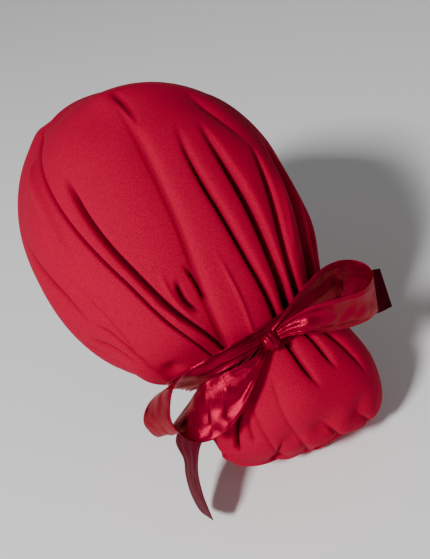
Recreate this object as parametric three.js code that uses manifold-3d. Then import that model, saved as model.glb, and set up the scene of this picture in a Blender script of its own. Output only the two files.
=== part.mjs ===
// Gathered cloth cap with a bun pouch and a satin ribbon bow.
// Millimetres, +Z up, the wearer faces -Y, +X is the wearer's left.
// The origin is the middle of the head opening.
//
// The cloth is a soft sock. Each section is a loop of points: angle 90 is the middle of the
// head's top, angle 0 the wearer's left, -90 the nape. The crown's loops open like a fan from
// the rim at the hairline to the waist above the nape, and the pouch's loops go on from there.

import * as THREE from 'three';
import Module from 'manifold-3d';
import { mergeVertices } from 'three/addons/utils/BufferGeometryUtils.js';

const wasm = await Module();
wasm.setup();

// Driving sizes
const CLOTH_WALL = 1.8;
const RIBBON_WALL = 1.0;
const PIECE_GAP = 0.35;
const TIE_HALF_WIDTH = 11;
const TIE_LIFT = 0.9;
const KNOT_RADII = { side: 8.5, down: 9.5, out: 6.5 };
const KNOT_LIFT = 9.8;
const KNOT_ANGLE = 84;

// Grid counts
const CROWN_COLUMNS = 60;
const CROWN_ROWS = 20;
const BAND_ROWS = 5;
const NAPE_COLUMNS = 20;
const POUCH_COLUMNS = 48;
const POUCH_ROWS = 11;
const POUCH_END_ROWS = 3;
const TIE_COLUMNS = 60;
const STEPS_PER_STATION = 2;

// How far the pouch's closed end bulges past its last section, which way, and how far the
// middle of its outer and its inner face lies past the last ring of points
const POUCH_END_RISE = 5;
const POUCH_END_AXIS = new THREE.Vector3(0, -0.15, -1).normalize();
const POUCH_TIP_RISE = { outer: 0.3, inner: 0.1 };

// Folds are full by this place along the crown, and fade over this share of their length
const FOLD_FULL_ALONG = 0.98;
const FOLD_FADE = 0.25;

// How far the tie may reach along the crown and along the pouch, as shares of their lengths
const TIE_REACH = { crown: -0.45, pouch: 0.3 };

// Rows of a table turned into objects with the column names as keys
const namedRows = (columns, rows) => rows.map((row) => (
  Object.fromEntries(columns.map((name, i) => [name, row[i]]))
));

// Sections of the cloth, evenly spaced along it. topY, topZ and botY, botZ are the section's
// middle points above and below; halfWidth is half its breadth, waist the height share at which
// it is broadest, shift its sideways offset; tilt and sag lean its sides along the cloth.
const SECTION_COLUMNS = [
  'topY', 'topZ', 'botY', 'botZ', 'halfWidth', 'waist', 'shift', 'tilt', 'sag',
];
const CROWN_SECTIONS = namedRows(SECTION_COLUMNS, [
  [-81.5, 49.0, 82.0, -49.0, 83.0, 0.50, 0.0, 0.0, 0.0],
  [-86.5, 79.5, 85.0, -51.5, 87.0, 0.50, 0.0, 1.5, 0.0],
  [-66.5, 110.5, 88.5, -53.5, 90.0, 0.50, -1.0, 1.5, 0.0],
  [-22.5, 131.5, 91.0, -54.5, 95.5, 0.50, -2.0, 1.0, 2.0],
  [27.0, 149.0, 91.5, -55.0, 97.0, 0.50, -1.5, 0.5, 3.5],
  [77.0, 136.0, 92.5, -54.5, 91.5, 0.51, -1.5, 0.0, 4.5],
  [119.0, 98.0, 94.0, -53.5, 84.5, 0.52, -3.5, -1.0, 4.0],
  [144.5, 50.0, 97.0, -52.5, 75.5, 0.52, -4.5, 0.0, 6.5],
  [150.5, 1.5, 99.0, -49.5, 62.0, 0.52, -13.0, 2.0, 6.0],
]);
const POUCH_SECTIONS = namedRows(SECTION_COLUMNS, [
  [150.5, 1.5, 99.0, -49.5, 62.0, 0.52, -13.0, 2.0, 6.0],
  [165.0, -15.0, 100.5, -71.0, 59.0, 0.50, -19.0, -5.0, 8.0],
  [183.0, -41.0, 106.0, -95.0, 65.0, 0.50, -19.5, -12.0, 6.0],
  [183.0, -79.0, 117.0, -113.0, 61.5, 0.50, -17.5, -17.0, 4.0],
  [158.0, -109.0, 138.0, -112.0, 46.5, 0.50, -7.5, -15.0, 4.0],
]);

// The seam between the front band and the crown, from the wearer's left side of the waist over
// the head's top. Each row joins a rim angle, a seam point and a waist angle. The right side
// mirrors the left.
const SEAM = [
  { rimAngle: -60, seamAngle: 7, seamAlong: 0.95, waistAngle: 5 },
  { rimAngle: -50, seamAngle: 14, seamAlong: 0.885, waistAngle: 14 },
  { rimAngle: -36, seamAngle: 19, seamAlong: 0.80, waistAngle: 24 },
  { rimAngle: -22, seamAngle: 20, seamAlong: 0.70, waistAngle: 34 },
  { rimAngle: -4, seamAngle: 22, seamAlong: 0.60, waistAngle: 46 },
  { rimAngle: 14, seamAngle: 30, seamAlong: 0.55, waistAngle: 57 },
  { rimAngle: 36, seamAngle: 42, seamAlong: 0.48, waistAngle: 67 },
  { rimAngle: 62, seamAngle: 64, seamAlong: 0.36, waistAngle: 78 },
  { rimAngle: 90, seamAngle: 90, seamAlong: 0.31, waistAngle: 90 },
];
const NAPE_WAIST_ANGLES = { left: -3, right: -177 };

// Folds run along the cloth through three points (angle, along). depth is how far the cloth
// dips, width how far the dip spreads to each side, in mm.
const CROWN_FOLDS = [
  { name: 'side overlap', from: [63, 0.36], by: [39, 0.70], to: [50, 0.98], depth: 3.5, width: 4 },
  { name: 'side valley', from: [58, 0.55], by: [47, 0.70], to: [57, 0.98], depth: 6.5, width: 5 },
  { name: 'pinch left', from: [62, 0.80], by: [60, 0.85], to: [63, 0.91], depth: 4.0, width: 4 },
  { name: 'pinch right', from: [69, 0.79], by: [71, 0.845], to: [67, 0.91], depth: 5.0, width: 4 },
  { name: 'long crease', from: [89, 0.50], by: [75, 0.77], to: [60, 0.98], depth: 4.5, width: 6 },
  { name: 'back valley 1', from: [104, 0.61], by: [98, 0.76], to: [99, 0.98], depth: 7.0, width: 5 },
  { name: 'back valley 2', from: [121, 0.54], by: [114, 0.72], to: [109, 0.98], depth: 7.5, width: 5 },
  { name: 'back valley 3', from: [132, 0.65], by: [127, 0.79], to: [121, 0.98], depth: 7.0, width: 5 },
  { name: 'right valley 1', from: [154, 0.60], by: [148, 0.79], to: [144, 0.98], depth: 7.0, width: 6 },
  { name: 'right valley 2', from: [162, 0.55], by: [161, 0.75], to: [154, 0.98], depth: 5.5, width: 6 },
  { name: 'right valley 3', from: [168, 0.62], by: [168, 0.80], to: [163, 0.98], depth: 4.5, width: 5 },
  { name: 'left band crease', from: [25, 0.29], by: [14, 0.52], to: [5, 0.70], depth: 2.5, width: 6 },
  { name: 'left hem crease', from: [-20, 0.14], by: [-8, 0.65], to: [2, 0.85], depth: 2.0, width: 6 },
  { name: 'right band crease', from: [155, 0.29], by: [166, 0.52], to: [175, 0.70], depth: 2.5, width: 6 },
  { name: 'right hem crease', from: [200, 0.14], by: [188, 0.65], to: [178, 0.85], depth: 2.0, width: 6 },
];
const POUCH_FOLDS = [
  { name: 'middle valley', from: [95, 0.0], by: [89, 0.33], to: [93, 0.52], depth: 5.5, width: 4 },
  { name: 'right valley 1', from: [107, 0.0], by: [109, 0.32], to: [112, 0.48], depth: 5.5, width: 4 },
  { name: 'right valley 2', from: [120, 0.0], by: [129, 0.34], to: [132, 0.58], depth: 5.0, width: 4 },
  { name: 'right valley 3', from: [140, 0.0], by: [148, 0.30], to: [152, 0.45], depth: 3.5, width: 5 },
  { name: 'left pleat', from: [44, 0.40], by: [30, 0.62], to: [26, 0.82], depth: 4.5, width: 4 },
  { name: 'left dent', from: [50, 0.45], by: [51, 0.65], to: [60, 0.95], depth: 2.0, width: 4 },
  { name: 'end dent 1', from: [67, 0.66], by: [65, 0.82], to: [64, 1.0], depth: 3.5, width: 6 },
  { name: 'end dent 2', from: [92, 0.62], by: [95, 0.78], to: [98, 1.0], depth: 3.5, width: 6 },
  { name: 'end dent 3', from: [120, 0.62], by: [112, 0.80], to: [106, 1.0], depth: 3.0, width: 6 },
];
// Even gathers where the photo's view doesn't reach
const NAPE_GATHERS = { first: -160, step: 20, count: 8, startAlong: 0.45, depth: 1.8, width: 5 };
const POUCH_GATHERS = { first: 170, step: 22, count: 9, endAlong: 0.4, depth: 2.5, width: 5 };

// Stations along the bow's ribbons: the ribbon's near edge and far edge, x y z in mm. The far
// edge is the one further from somebody who looks at the bow. Stations close to the knot are
// narrow, because the ribbon is bunched there.
const LEFT_LOOP_STATIONS = [
  { near: [-3, 156, 8], far: [-2, 157, 3] },
  { near: [10, 156, 11], far: [12, 157, 2] },
  { near: [27, 155, 14], far: [29, 152, -2] },
  { near: [44, 152, 13], far: [43, 135, -17] },
  { near: [55, 146, 8], far: [60, 119, -20] },
  { near: [63, 145, 1], far: [72, 117, -23] },
  { near: [69, 146, -8], far: [80, 117, -32] },
  { near: [73, 150, -17], far: [82, 122, -40] },
  { near: [73, 155, -24], far: [71, 126, -42] },
  { near: [68, 162, -30], far: [55, 132, -31] },
  { near: [59, 165, -36], far: [45, 147, -7] },
  { near: [47, 170, -32], far: [31, 154, -2] },
  { near: [34, 172, -25], far: [20, 158, 0] },
  { near: [21, 170, -14], far: [11, 160, 1] },
  { near: [9, 166, -6], far: [4, 160, 1] },
  { near: [-1, 161, 0], far: [-1, 157, 2] },
];
const RIGHT_LOOP_STATIONS = [
  { near: [-11, 156, 10], far: [-12, 158, 5] },
  { near: [-20, 156, 15], far: [-23, 158, 7] },
  { near: [-38, 153, 22], far: [-41, 155, 5] },
  { near: [-56, 153, 29], far: [-56, 153, 2] },
  { near: [-71, 152, 29], far: [-73, 148, -8] },
  { near: [-81, 155, 26], far: [-85, 149, -14] },
  { near: [-87, 161, 23], far: [-91, 156, -17] },
  { near: [-87, 169, 21], far: [-91, 163, -19] },
  { near: [-82, 176, 20], far: [-84, 168, -17] },
  { near: [-71, 179, 19], far: [-75, 170, -16] },
  { near: [-57, 176, 20], far: [-63, 168, -14] },
  { near: [-44, 171, 21], far: [-50, 164, -12] },
  { near: [-31, 166, 19], far: [-34, 165, -3] },
  { near: [-21, 162, 15], far: [-21, 163, 3] },
  { near: [-12, 158, 10], far: [-10, 160, 3] },
];
const LEFT_TAIL_STATIONS = [
  { near: [-3, 155, 2], far: [0, 153, 6] },
  { near: [11, 159, -5], far: [14, 154, 6] },
  { near: [29, 161, -20], far: [36, 147, -14] },
  { near: [47, 155, -37], far: [59, 135, -39] },
  { near: [57, 148, -51], far: [68, 126, -59] },
  { near: [65, 150, -60], far: [67, 125, -80] },
  { near: [70, 154, -69], far: [71, 129, -91] },
  { near: [73, 160, -80], far: [74, 136, -102] },
  { near: [75, 165, -89], far: [75, 144, -113] },
  { near: [75, 166, -103], far: [74, 158, -109] },
];
const RIGHT_TAIL_STATIONS = [
  { near: [-22, 155, 9], far: [-21, 157, 4] },
  { near: [-41, 151, 8], far: [-37, 157, 0] },
  { near: [-67, 139, -1], far: [-58, 154, -8] },
  { near: [-91, 135, -8], far: [-79, 153, -24] },
  { near: [-107, 139, -8], far: [-94, 156, -30] },
  { near: [-113, 141, -9], far: [-106, 158, -30] },
];

// A smooth value at place t (0 to 1) of evenly spaced numbers, which it passes through
function smoothAt(values, t) {
  const last = values.length - 1;
  const place = Math.min(Math.max(t, 0), 1) * last;
  const i = Math.min(Math.floor(place), last - 1);
  const f = place - i;
  const b = values[i];
  const c = values[i + 1];
  const a = i > 0 ? values[i - 1] : 2 * b - c;
  const d = i + 2 <= last ? values[i + 2] : 2 * c - b;
  const slope = c - a;
  const bend = 2 * a - 5 * b + 4 * c - d;
  const twist = 3 * b - a - 3 * c + d;
  return 0.5 * (2 * b + slope * f + bend * f * f + twist * f * f * f);
}

function smoothRow(rows, t) {
  const result = {};
  for (const key of Object.keys(rows[0])) {
    result[key] = smoothAt(rows.map((row) => row[key]), t);
  }
  return result;
}

// The unfolded cloth: a point at an angle in degrees round the section, at a place along it
function clothPoint(sections, angle, along) {
  const row = smoothRow(sections, along);
  const c = Math.cos(THREE.MathUtils.degToRad(angle));
  const s = Math.sin(THREE.MathUtils.degToRad(angle));
  const midY = row.botY + (row.topY - row.botY) * row.waist;
  const midZ = row.botZ + (row.topZ - row.botZ) * row.waist;
  const endY = s > 0 ? row.topY : row.botY;
  const endZ = s > 0 ? row.topZ : row.botZ;
  const spanY = row.topY - row.botY;
  const spanZ = row.topZ - row.botZ;
  const span = Math.hypot(spanY, spanZ);
  const lean = row.tilt * c - row.sag * c * c;
  const x = row.halfWidth * c + row.shift;
  const y = midY + (endY - midY) * Math.abs(s) + lean * spanZ / span;
  const z = midZ + (endZ - midZ) * Math.abs(s) - lean * spanY / span;
  return new THREE.Vector3(x, y, z);
}

// How fast the cloth runs at a point: round the section (mm for each degree), along it (mm for
// its whole length) and its outward direction
function clothFrame(sections, angle, along) {
  const angleStep = 0.5;
  const alongStep = 0.004;
  const round = clothPoint(sections, angle + angleStep, along)
    .sub(clothPoint(sections, angle - angleStep, along));
  const before = Math.max(along - alongStep, 0);
  const after = Math.min(along + alongStep, 1);
  const length = clothPoint(sections, angle, after).sub(clothPoint(sections, angle, before));
  const outward = length.clone().cross(round).normalize();
  return {
    mmPerDegree: round.length() / (2 * angleStep),
    mmAlong: length.length() / (after - before),
    outward,
  };
}

function angleBetween(a, b) {
  return THREE.MathUtils.euclideanModulo(a - b + 180, 360) - 180;
}

// The fold's angle at a place along the cloth: the parabola through its three points
function foldAngle(fold, along) {
  const [a0, v0] = fold.from;
  const [a1, v1] = fold.by;
  const [a2, v2] = fold.to;
  const w0 = (along - v1) * (along - v2) / ((v0 - v1) * (v0 - v2));
  const w1 = (along - v0) * (along - v2) / ((v1 - v0) * (v1 - v2));
  const w2 = (along - v0) * (along - v1) / ((v2 - v0) * (v2 - v1));
  return a0 * w0 + a1 * w1 + a2 * w2;
}

// A fold fades in and out over a quarter of its length, but not into the waist or the pouch's end
function foldStrength(fold, along) {
  const start = fold.from[1];
  const end = fold.to[1];
  const fade = FOLD_FADE * (end - start);
  if (along < start || along > end) {
    return 0;
  }
  const rise = start <= 0 ? 1 : THREE.MathUtils.smoothstep(along, start, start + fade);
  const fall = end >= FOLD_FULL_ALONG ? 1 : 1 - THREE.MathUtils.smoothstep(along, end - fade, end);
  return rise * fall;
}

// How far the folds dip at a point, in mm: a sharp valley with broad shoulders. Only the
// deepest dip counts where folds meet.
function foldDip(folds, angle, along, mmPerDegree) {
  let dip = 0;
  for (const fold of folds) {
    const place = THREE.MathUtils.clamp(along, fold.from[1], fold.to[1]);
    const aside = Math.abs(angleBetween(angle, foldAngle(fold, place))) * mmPerDegree;
    const reach = foldStrength(fold, Math.min(along, FOLD_FULL_ALONG));
    dip = Math.max(dip, fold.depth * reach * Math.exp(-aside / fold.width));
  }
  return dip;
}

function evenGathers(spec, from, to, bend) {
  return Array.from({ length: spec.count }, (_, i) => {
    const angle = spec.first + spec.step * i;
    return {
      from: [angle, from],
      by: [angle + bend, (from + to) / 2],
      to: [angle, to],
      depth: spec.depth,
      width: spec.width,
    };
  });
}

const crownFolds = [...CROWN_FOLDS, ...evenGathers(NAPE_GATHERS, NAPE_GATHERS.startAlong, 1, 0)];
const pouchFolds = [...POUCH_FOLDS, ...evenGathers(POUCH_GATHERS, 0, POUCH_GATHERS.endAlong, 2)];

// Both faces of the folded cloth at one place
function clothWall(sections, folds, angle, along) {
  const frame = clothFrame(sections, angle, along);
  const dip = foldDip(folds, angle, along, frame.mmPerDegree);
  const outer = clothPoint(sections, angle, along).addScaledVector(frame.outward, -dip);
  const inner = outer.clone().addScaledVector(frame.outward, -CLOTH_WALL);
  return { outer, inner };
}

// One closed body from a grid of walls: walls[column][row] with an outer and an inner point.
// ring joins the last column to the first, poleEnd closes the last row to a point.
function shellGeometry(walls, ring, poleEnd) {
  const columns = walls.length;
  const rows = walls[0].length;
  const positions = [];
  for (const face of ['outer', 'inner']) {
    for (const column of walls) {
      for (const wall of column) {
        positions.push(...wall[face].toArray());
      }
    }
  }
  const outerAt = (c, r) => (c % columns) * rows + r;
  const innerAt = (c, r) => columns * rows + outerAt(c, r);
  const index = [];
  const addQuad = (a, b, c, d) => index.push(a, b, c, a, c, d);
  const lastColumn = ring ? columns : columns - 1;
  for (let c = 0; c < lastColumn; c += 1) {
    for (let r = 0; r < rows - 1; r += 1) {
      addQuad(outerAt(c, r), outerAt(c, r + 1), outerAt(c + 1, r + 1), outerAt(c + 1, r));
      addQuad(innerAt(c, r), innerAt(c + 1, r), innerAt(c + 1, r + 1), innerAt(c, r + 1));
    }
    addQuad(outerAt(c, 0), outerAt(c + 1, 0), innerAt(c + 1, 0), innerAt(c, 0));
    if (!poleEnd) {
      const r = rows - 1;
      addQuad(outerAt(c + 1, r), outerAt(c, r), innerAt(c, r), innerAt(c + 1, r));
    }
  }
  if (!ring) {
    for (let r = 0; r < rows - 1; r += 1) {
      const c = columns - 1;
      addQuad(outerAt(0, r + 1), outerAt(0, r), innerAt(0, r), innerAt(0, r + 1));
      addQuad(outerAt(c, r), outerAt(c, r + 1), innerAt(c, r + 1), innerAt(c, r));
    }
  }
  if (poleEnd) {
    for (const [face, at] of [['outer', outerAt], ['inner', innerAt]]) {
      const pole = positions.length / 3;
      const middle = new THREE.Vector3();
      walls.forEach((column) => middle.add(column[rows - 1][face]));
      middle.divideScalar(columns).addScaledVector(poleEnd, POUCH_TIP_RISE[face]);
      positions.push(...middle.toArray());
      for (let c = 0; c < columns; c += 1) {
        const a = at(c, rows - 1);
        const b = at(c + 1, rows - 1);
        index.push(...(face === 'outer' ? [a, pole, b] : [b, pole, a]));
      }
    }
  }
  const geometry = new THREE.BufferGeometry();
  geometry.setAttribute('position', new THREE.Float32BufferAttribute(positions, 3));
  geometry.setIndex(index);
  return geometry;
}

const rightSeam = SEAM.slice(0, -1).reverse().map((row) => ({
  rimAngle: 180 - row.rimAngle,
  seamAngle: 180 - row.seamAngle,
  seamAlong: row.seamAlong,
  waistAngle: 180 - row.waistAngle,
}));
const wholeSeam = [...SEAM, ...rightSeam];

function crownGeometry() {
  const walls = [];
  for (let c = 0; c <= CROWN_COLUMNS; c += 1) {
    const row = smoothRow(wholeSeam, c / CROWN_COLUMNS);
    const frame = clothFrame(CROWN_SECTIONS, row.seamAngle, row.seamAlong);
    const upward = Math.sign(90 - row.seamAngle);
    const startAngle = row.seamAngle + upward * PIECE_GAP / frame.mmPerDegree;
    const startAlong = row.seamAlong + PIECE_GAP / frame.mmAlong;
    walls.push(Array.from({ length: CROWN_ROWS + 1 }, (_, r) => {
      const t = r / CROWN_ROWS;
      const angle = THREE.MathUtils.lerp(startAngle, row.waistAngle, t);
      const along = THREE.MathUtils.lerp(startAlong, 1, t);
      return clothWall(CROWN_SECTIONS, crownFolds, angle, along);
    }));
  }
  return shellGeometry(walls, false, null);
}

function bandGeometry() {
  const walls = [];
  const addColumn = (rimAngle, endAngle, endAlong) => {
    walls.push(Array.from({ length: BAND_ROWS + 1 }, (_, r) => {
      const t = r / BAND_ROWS;
      const angle = THREE.MathUtils.lerp(rimAngle, endAngle, t);
      return clothWall(CROWN_SECTIONS, crownFolds, angle, endAlong * t);
    }));
  };
  for (let c = 0; c <= CROWN_COLUMNS; c += 1) {
    const row = smoothRow(wholeSeam, c / CROWN_COLUMNS);
    addColumn(row.rimAngle, row.seamAngle, row.seamAlong);
  }
  const rimLeft = SEAM[0].rimAngle;
  const rimRight = -180 - rimLeft;
  for (let c = 1; c < NAPE_COLUMNS; c += 1) {
    const t = 1 - (c - 1) / (NAPE_COLUMNS - 2);
    const rimShare = 1 - c / NAPE_COLUMNS;
    const waistAngle = THREE.MathUtils.lerp(NAPE_WAIST_ANGLES.left, NAPE_WAIST_ANGLES.right, t);
    addColumn(THREE.MathUtils.lerp(rimLeft, rimRight, rimShare), waistAngle, 1);
  }
  return shellGeometry(walls, true, null);
}

function pouchGeometry() {
  const gapAbove = PIECE_GAP / clothFrame(POUCH_SECTIONS, 90, 0).mmAlong;
  const gapBelow = PIECE_GAP / clothFrame(POUCH_SECTIONS, -90, 0).mmAlong;
  const startAlong = Math.max(gapAbove, gapBelow);
  const walls = [];
  for (let c = 0; c < POUCH_COLUMNS; c += 1) {
    const angle = 360 * c / POUCH_COLUMNS;
    const column = Array.from({ length: POUCH_ROWS + 1 }, (_, r) => {
      const along = THREE.MathUtils.lerp(startAlong, 1, r / POUCH_ROWS);
      return clothWall(POUCH_SECTIONS, pouchFolds, angle, along);
    });
    walls.push(column);
  }
  // The end dome shrinks the last section to its middle
  for (const face of ['outer', 'inner']) {
    const middle = new THREE.Vector3();
    walls.forEach((column) => middle.add(column[POUCH_ROWS][face]));
    middle.divideScalar(POUCH_COLUMNS);
    for (const column of walls) {
      for (let r = 1; r <= POUCH_END_ROWS; r += 1) {
        const turn = 0.5 * Math.PI * r / (POUCH_END_ROWS + 1);
        const point = column[POUCH_ROWS][face].clone().sub(middle).multiplyScalar(Math.cos(turn));
        point.add(middle).addScaledVector(POUCH_END_AXIS, POUCH_END_RISE * Math.sin(turn));
        const cell = column[POUCH_ROWS + r] ?? {};
        cell[face] = point;
        column[POUCH_ROWS + r] = cell;
      }
    }
  }
  return shellGeometry(walls, true, POUCH_END_AXIS);
}

// The ribbon round the waist lies on the crown before the waist and on the pouch after it
function tieGeometry() {
  const across = [-1, 0, 1];
  const walls = [];
  for (let c = 0; c < TIE_COLUMNS; c += 1) {
    const angle = 360 * c / TIE_COLUMNS;
    walls.push(across.map((side) => {
      const sections = side <= 0 ? CROWN_SECTIONS : POUCH_SECTIONS;
      const start = side <= 0 ? 1 : 0;
      const reach = side * TIE_HALF_WIDTH / clothFrame(sections, angle, start).mmAlong;
      const along = start + THREE.MathUtils.clamp(reach, TIE_REACH.crown, TIE_REACH.pouch);
      const outward = clothFrame(sections, angle, along).outward;
      if (side === 0) {
        outward.add(clothFrame(POUCH_SECTIONS, angle, 0).outward).normalize();
      }
      const inner = clothPoint(sections, angle, along).addScaledVector(outward, TIE_LIFT);
      const outer = inner.clone().addScaledVector(outward, RIBBON_WALL);
      return { outer, inner };
    }));
  }
  return shellGeometry(walls, true, null);
}

// A flat ribbon through its stations, one rectangular section at each step
function ribbonGeometry(stations) {
  const steps = (stations.length - 1) * STEPS_PER_STATION;
  const edgeAt = (edge, t) => new THREE.Vector3(
    ...[0, 1, 2].map((axis) => smoothAt(stations.map((station) => station[edge][axis]), t)),
  );
  const middleAt = (t) => edgeAt('near', t).add(edgeAt('far', t)).multiplyScalar(0.5);
  const walls = [];
  for (let i = 0; i <= steps; i += 1) {
    const t = i / steps;
    const near = edgeAt('near', t);
    const far = edgeAt('far', t);
    const small = 0.2 / steps;
    const forward = middleAt(Math.min(t + small, 1)).sub(middleAt(Math.max(t - small, 0)));
    const half = forward.cross(far.clone().sub(near)).setLength(RIBBON_WALL / 2);
    walls.push([near, far].map((point) => ({
      outer: point.clone().sub(half),
      inner: point.clone().add(half),
    })));
  }
  return shellGeometry(walls, false, null);
}

// The knot is an egg on top of the waist, turned to the waist's own directions
function knotGeometry(grow) {
  const geometry = new THREE.SphereGeometry(1, 16, 10);
  geometry.scale(KNOT_RADII.side + grow, KNOT_RADII.down + grow, KNOT_RADII.out + grow);
  const outward = clothFrame(CROWN_SECTIONS, 90, 1).outward
    .add(clothFrame(POUCH_SECTIONS, 90, 0).outward).normalize();
  const side = new THREE.Vector3(1, 0, 0);
  const up = outward.clone().cross(side).normalize();
  geometry.applyMatrix4(new THREE.Matrix4().makeBasis(side, up, outward));
  const centre = clothPoint(CROWN_SECTIONS, KNOT_ANGLE, 1).addScaledVector(outward, KNOT_LIFT);
  geometry.translate(centre.x, centre.y, centre.z);
  return geometry;
}

function toManifold(geometry) {
  const bare = geometry.clone();
  bare.deleteAttribute('normal');
  bare.deleteAttribute('uv');
  const merged = mergeVertices(bare, 1e-4);
  return new wasm.Manifold(new wasm.Mesh({
    numProp: 3,
    vertProperties: new Float32Array(merged.attributes.position.array),
    triVerts: new Uint32Array(merged.index.array),
  }));
}

function fromManifold(solid) {
  const mesh = solid.getMesh();
  const geometry = new THREE.BufferGeometry();
  geometry.setAttribute('position', new THREE.BufferAttribute(mesh.vertProperties, 3));
  geometry.setIndex(new THREE.BufferAttribute(mesh.triVerts, 1));
  return geometry;
}

// Each ribbon stops short of the knot
function ribbonBesideKnot(stations) {
  const ribbon = toManifold(ribbonGeometry(stations));
  const pieces = ribbon.subtract(toManifold(knotGeometry(PIECE_GAP))).decompose();
  pieces.sort((a, b) => b.volume() - a.volume());
  return fromManifold(pieces[0]);
}

const cotton = { color: 0xb5123a, roughness: 0.85, metalness: 0 };
const satin = { color: 0xa01030, roughness: 0.35, metalness: 0 };

function addPiece(group, name, geometry, look) {
  const shaded = geometry.clone();
  shaded.computeVertexNormals();
  const mesh = new THREE.Mesh(shaded, new THREE.MeshStandardMaterial(look));
  mesh.name = name;
  group.add(mesh);
}

const cap = new THREE.Group();
addPiece(cap, 'crown', crownGeometry(), cotton);
addPiece(cap, 'front_band', bandGeometry(), cotton);
addPiece(cap, 'bun_pouch', pouchGeometry(), cotton);

const bow = new THREE.Group();
addPiece(bow, 'ribbon_tie', tieGeometry(), satin);
addPiece(bow, 'bow_knot', knotGeometry(0), satin);
addPiece(bow, 'bow_loop_left', ribbonBesideKnot(LEFT_LOOP_STATIONS), satin);
addPiece(bow, 'bow_loop_right', ribbonBesideKnot(RIGHT_LOOP_STATIONS), satin);
addPiece(bow, 'ribbon_tail_left', ribbonBesideKnot(LEFT_TAIL_STATIONS), satin);
addPiece(bow, 'ribbon_tail_right', ribbonBesideKnot(RIGHT_TAIL_STATIONS), satin);
cap.add(bow);

export default cap;
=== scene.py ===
# %% [markdown]
# # A gathered scrub cap with a satin bow
# This lesson gives a worn scrub cap its looks. The part is already built and packed as plain
# solids: a crown, a front band, a bun pouch, and a ribbon with its knot, loops and tails. Each
# solid is replaced here by a finer piece that follows the same surface, with the creases of
# gathered cotton and the crumples of satin ribbon. Lengths are in millimetres until a mesh is
# made, because sewing is measured that way, and every mesh is in metres.

import bpy
import numpy as np
from mathutils import Matrix, Vector


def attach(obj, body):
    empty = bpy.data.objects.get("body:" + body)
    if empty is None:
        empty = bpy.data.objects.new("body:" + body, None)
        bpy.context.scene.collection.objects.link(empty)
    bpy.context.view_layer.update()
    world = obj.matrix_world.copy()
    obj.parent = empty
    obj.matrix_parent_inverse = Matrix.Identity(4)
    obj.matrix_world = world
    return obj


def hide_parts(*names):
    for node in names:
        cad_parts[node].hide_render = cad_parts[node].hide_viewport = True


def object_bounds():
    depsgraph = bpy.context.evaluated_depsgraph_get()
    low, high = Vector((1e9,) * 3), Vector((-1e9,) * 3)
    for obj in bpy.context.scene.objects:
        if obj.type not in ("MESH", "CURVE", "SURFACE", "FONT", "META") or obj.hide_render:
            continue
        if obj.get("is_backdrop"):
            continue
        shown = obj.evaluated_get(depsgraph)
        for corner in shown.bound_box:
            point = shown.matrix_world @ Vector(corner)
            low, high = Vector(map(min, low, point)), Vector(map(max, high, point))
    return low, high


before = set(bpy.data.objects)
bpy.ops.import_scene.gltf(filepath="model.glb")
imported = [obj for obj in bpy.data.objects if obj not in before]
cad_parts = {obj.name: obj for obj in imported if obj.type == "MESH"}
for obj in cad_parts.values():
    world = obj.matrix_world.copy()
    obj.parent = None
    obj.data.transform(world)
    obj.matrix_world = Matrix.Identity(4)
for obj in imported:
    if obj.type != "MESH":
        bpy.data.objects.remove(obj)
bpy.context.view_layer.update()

# %% [markdown]
# ## The photo's camera
# The photo looks at the back of the head from above, a little from the wearer's left, with the
# head tilted. A camera could be placed by eye, but these numbers were found by laying the cap's
# outline over the photo. With them a place in the photo can be turned into a place on the cap,
# so that each crease can be written down as a short path of photo pixels.

# %% The photo's camera
# Angles are in degrees, the picture's centre and height in pixels, and the rest in millimetres
PHOTO_AZIMUTH, PHOTO_ELEVATION, PHOTO_ROLL = 158.0, 36.0, 17.0
PHOTO_DISTANCE = 700.0
PHOTO_TARGET = np.array([-20.5, 64.0, -2.0])
PHOTO_CENTRE = (215.0, 279.5)
PHOTO_MM_PER_PIXEL = 0.74
PHOTO_HEIGHT = 559


def camera_axes():
    """The photo's right, up and backward directions, from its azimuth, elevation and roll."""
    azimuth, elevation, roll = np.radians([PHOTO_AZIMUTH, PHOTO_ELEVATION, PHOTO_ROLL])
    sin_a, cos_a = np.sin(azimuth), np.cos(azimuth)
    sin_e, cos_e = np.sin(elevation), np.cos(elevation)
    back = np.array([sin_a * cos_e, -cos_a * cos_e, sin_e])
    level = np.array([cos_a, sin_a, 0.0])
    rise = np.array([-sin_a * sin_e, cos_a * sin_e, cos_e])
    right = level * np.cos(roll) - rise * np.sin(roll)
    up = level * np.sin(roll) + rise * np.cos(roll)
    return right, up, back


PHOTO_RIGHT, PHOTO_UP, PHOTO_BACK = camera_axes()


def to_photo(points):
    """Photo pixels of points: the nearer a point is, the more pixels a millimetre takes."""
    from_target = points - PHOTO_TARGET
    enlarge = PHOTO_DISTANCE / (PHOTO_DISTANCE - from_target @ PHOTO_BACK) / PHOTO_MM_PER_PIXEL
    across = PHOTO_CENTRE[0] + from_target @ PHOTO_RIGHT * enlarge
    down = PHOTO_CENTRE[1] - from_target @ PHOTO_UP * enlarge
    return across, down


def from_photo(across, down, depth):
    """The point under a photo pixel that lies depth nearer to the camera than the target."""
    across, down, depth = (np.asarray(x, float)[..., None] for x in (across, down, depth))
    enlarge = PHOTO_DISTANCE / (PHOTO_DISTANCE - depth) / PHOTO_MM_PER_PIXEL
    sideways = PHOTO_RIGHT * (across - PHOTO_CENTRE[0]) / enlarge
    upward = -PHOTO_UP * (down - PHOTO_CENTRE[1]) / enlarge
    return PHOTO_TARGET + sideways + upward + PHOTO_BACK * depth


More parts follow.
